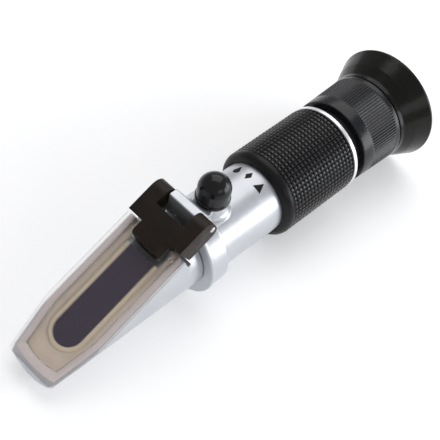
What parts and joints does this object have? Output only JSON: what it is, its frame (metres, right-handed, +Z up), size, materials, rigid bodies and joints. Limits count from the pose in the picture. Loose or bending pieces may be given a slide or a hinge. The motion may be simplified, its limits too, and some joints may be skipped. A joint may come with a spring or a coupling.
{
  "type": "refractometer",
  "caption": "Hand-held optical refractometer: sloped prism under a hinged clear plate, calibration screw under a cap, ribbed rubber grip and a turning focus eyepiece.",
  "frame": {"origin": "centre of the bounding box's base", "axes": "+X along the optical axis from the prism end to the eyepiece, +Z up, the hinge and the calibration cap on top, +Y to the left of someone looking along +X"},
  "size_m": [0.1622, 0.0404, 0.0471],
  "materials": {
    "satin_aluminium": "satin, fine-blasted",
    "bright_ring": "bright turned ring",
    "black_anodised": "matt black anodised",
    "black_rubber": "satin black rubber",
    "gloss_rubber": "glossy black rubber",
    "black_plastic": "semi-gloss dark brown-black",
    "slate_plastic": "satin dark slate grey",
    "clear_acrylic": "clear, faintly grey-pink acrylic",
    "prism_glass": "polished glass that looks dark purple in its seat",
    "lens_glass": "polished clear glass",
    "cream_seal": "cream cement",
    "steel": "bright steel",
    "brass": "plain brass"
  },
  "bodies": {
    "body": {"prism_seat": "satin_aluminium", "main_prism": "prism_glass", "prism_gasket": "cream_seal", "head_casting": "satin_aluminium", "nose_screw_left": "steel", "nose_screw_under": "steel", "lug_lock_screw": "steel", "light_baffle": "black_anodised", "bimetal_strip": "brass", "bimetal_screw": "steel", "body_tube": "black_anodised", "grip_sleeve": "black_rubber", "trim_ring": "bright_ring", "reticle_seat": "black_anodised", "reticle_glass": "lens_glass", "reticle_retainer": "black_anodised", "guide_tube": "black_anodised", "guide_seal": "black_rubber", "calibration_bush": "brass"},
    "cover": {"daylight_plate": "clear_acrylic", "hinge_block": "black_plastic", "hinge_pin": "steel"},
    "cap": {"calibration_cap": "gloss_rubber"},
    "lens_carrier": {"objective_cell": "black_anodised", "objective_lens": "lens_glass", "objective_retainer": "black_anodised"},
    "adjuster": {"calibration_screw": "steel"},
    "eyepiece_carrier": {"lens_barrel": "black_anodised", "eye_lens_field": "lens_glass", "lens_spacer": "black_anodised", "eye_lens_rear": "lens_glass", "lens_retainer": "black_anodised", "guide_key": "steel"},
    "focus": {"focus_ring": "slate_plastic", "eyecup": "gloss_rubber"}
  },
  "joints": [
    {"name": "cover_hinge", "type": "hinge", "parent": "body", "child": "cover", "pos_m": [-0.02142, 0, 0.04198], "axis": [0, 1, 0], "range_deg": [0, 110]},
    {"name": "cap_pull", "type": "slide", "parent": "body", "child": "cap", "axis": [0, 0, 1], "range_m": [0, 0.02]},
    {"name": "lens_shift", "type": "slide", "parent": "body", "child": "lens_carrier", "axis": [0, 0, 1], "range_m": [-0.000375, 0.000375]},
    {"name": "calibration_turn", "type": "hinge", "parent": "lens_carrier", "child": "adjuster", "pos_m": [-0.0099, 0, 0.037], "axis": [0, 0, 1], "range_deg": [-275, 275]},
    {"name": "focus_slide", "type": "slide", "parent": "body", "child": "eyepiece_carrier", "axis": [1, 0, 0], "range_m": [-0.0028, 0.004]},
    {"name": "focus_turn", "type": "hinge", "parent": "eyepiece_carrier", "child": "focus", "pos_m": [0.06, 0, 0.0202], "axis": [1, 0, 0], "range_deg": [-102, 146]}
  ],
  "couplings": [
    {"joint": "calibration_turn", "follows": "lens_shift", "rad_per_m": 12566},
    {"joint": "focus_turn", "follows": "focus_slide", "rad_per_m": 628.32}
  ]
}
